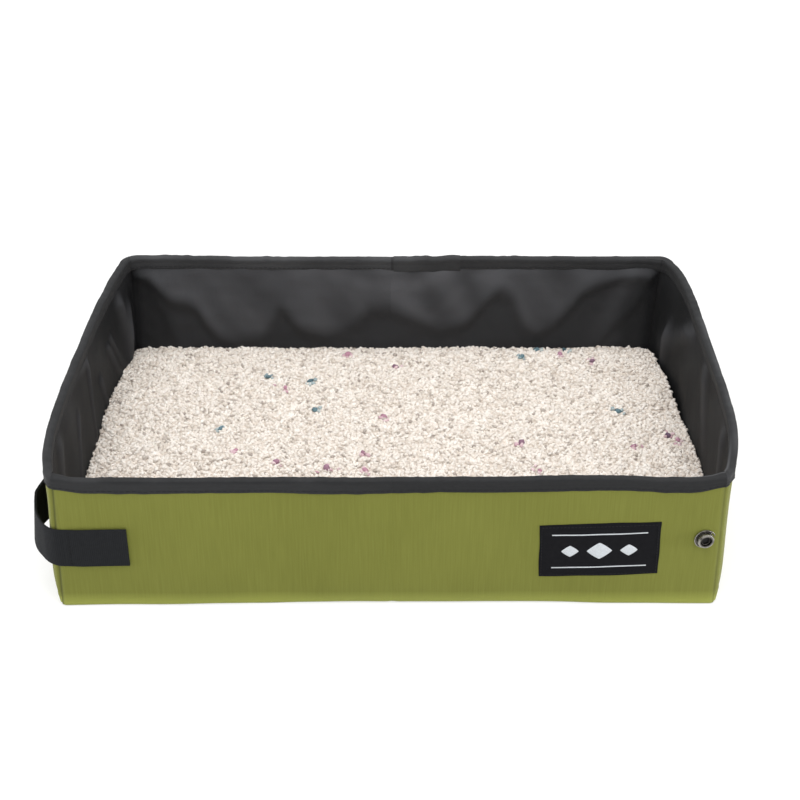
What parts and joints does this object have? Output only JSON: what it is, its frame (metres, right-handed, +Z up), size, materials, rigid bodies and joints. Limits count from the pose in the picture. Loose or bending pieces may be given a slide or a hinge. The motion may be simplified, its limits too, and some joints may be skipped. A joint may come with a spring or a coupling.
{
  "type": "foldable litter box",
  "caption": "Open rectangular cloth litter box with stiffened folding walls, bound rim, soft ends, side strap with snap, and a layer of litter.",
  "frame": {"origin": "on the floor, in the middle of the box between its end walls and its front and back walls", "axes": "+X along the length, away from the strap; +Y from the front wall to the back wall; +Z up"},
  "size_m": [0.519, 0.3558, 0.111],
  "materials": {
    "green_cloth": "ribbed woven polyester cloth, olive green",
    "black_liner": "coated waterproof cloth, satin",
    "binding_tape": "woven edge tape, charcoal",
    "webbing": "ribbed polyester webbing, black",
    "board": "flat polyethylene stiffener board",
    "foam": "thin closed-cell foam sheet",
    "litter": "loose mineral granules, cream with coloured specks",
    "label": "black woven label with grey motif",
    "nickel": "nickel-plated snap fastener"
  },
  "bodies": {
    "front_right": {"front_right_cover": "green_cloth", "front_right_board": "board", "front_right_liner": "black_liner", "front_right_binding": "binding_tape", "label": "label", "snap_socket": "nickel", "snap_washer": "nickel"},
    "base_right": {"base_right_cover": "green_cloth", "base_right_board": "board", "floor_liner_right": "black_liner", "litter_right": "litter"},
    "base_left": {"base_left_cover": "green_cloth", "base_left_board": "board", "floor_liner_left": "black_liner", "litter_left": "litter", "handle_strap": "webbing", "snap_cap": "nickel", "snap_stud": "nickel"},
    "right_end": {"right_end_cover": "green_cloth", "right_end_foam": "foam", "right_end_liner": "black_liner", "right_end_binding": "binding_tape"},
    "left_end": {"left_end_cover": "green_cloth", "left_end_foam": "foam", "left_end_liner": "black_liner", "left_end_binding": "binding_tape"},
    "back_right": {"back_right_cover": "green_cloth", "back_right_board": "board", "back_right_liner": "black_liner", "back_right_binding": "binding_tape"},
    "front_left": {"front_left_cover": "green_cloth", "front_left_board": "board", "front_left_liner": "black_liner", "front_left_binding": "binding_tape", "strap_front_end": "webbing"},
    "back_left": {"back_left_cover": "green_cloth", "back_left_board": "board", "back_left_liner": "black_liner", "back_left_binding": "binding_tape", "strap_back_end": "webbing"}
  },
  "joints": [
    {"name": "fold", "type": "hinge", "parent": "front_right", "child": "base_right", "pos_m": [0.12, -0.1742, 0.014], "axis": [1, 0, 0], "range_deg": [0, 90], "deforming": ["litter_right"]},
    {"name": "half_fold", "type": "hinge", "parent": "base_right", "child": "base_left", "pos_m": [0.002, 0, -0.00015], "axis": [0, -1, 0], "range_deg": [0, 180]},
    {"name": "back_right_fold", "type": "hinge", "parent": "base_right", "child": "back_right", "pos_m": [0.12, 0.1742, 0.014], "axis": [1, 0, 0], "range_deg": [0, 90]},
    {"name": "front_left_fold", "type": "hinge", "parent": "base_left", "child": "front_left", "pos_m": [-0.12, -0.1742, 0.014], "axis": [-1, 0, 0], "range_deg": [0, 90], "deforming": ["litter_left", "handle_strap"]},
    {"name": "back_left_fold", "type": "hinge", "parent": "base_left", "child": "back_left", "pos_m": [-0.12, 0.1742, 0.014], "axis": [1, 0, 0], "range_deg": [0, 90]},
    {"name": "right_end_fold", "type": "hinge", "parent": "base_right", "child": "right_end", "pos_m": [0.2392, 0, 0.0065], "axis": [0, -1, 0], "range_deg": [0, 90], "deforming": ["right_end_cover", "right_end_foam", "right_end_liner", "right_end_binding"]},
    {"name": "left_end_fold", "type": "hinge", "parent": "base_left", "child": "left_end", "pos_m": [-0.2392, 0, 0.0065], "axis": [0, 1, 0], "range_deg": [0, 90], "deforming": ["left_end_cover", "left_end_foam", "left_end_liner", "left_end_binding"]}
  ],
  "couplings": [
    {"joint": "half_fold", "follows": "fold", "ratio": 2},
    {"joint": "back_right_fold", "follows": "fold", "ratio": 1},
    {"joint": "front_left_fold", "follows": "fold", "ratio": 1},
    {"joint": "back_left_fold", "follows": "fold", "ratio": 1},
    {"joint": "right_end_fold", "follows": "fold", "ratio": 1},
    {"joint": "left_end_fold", "follows": "fold", "ratio": 1}
  ]
}
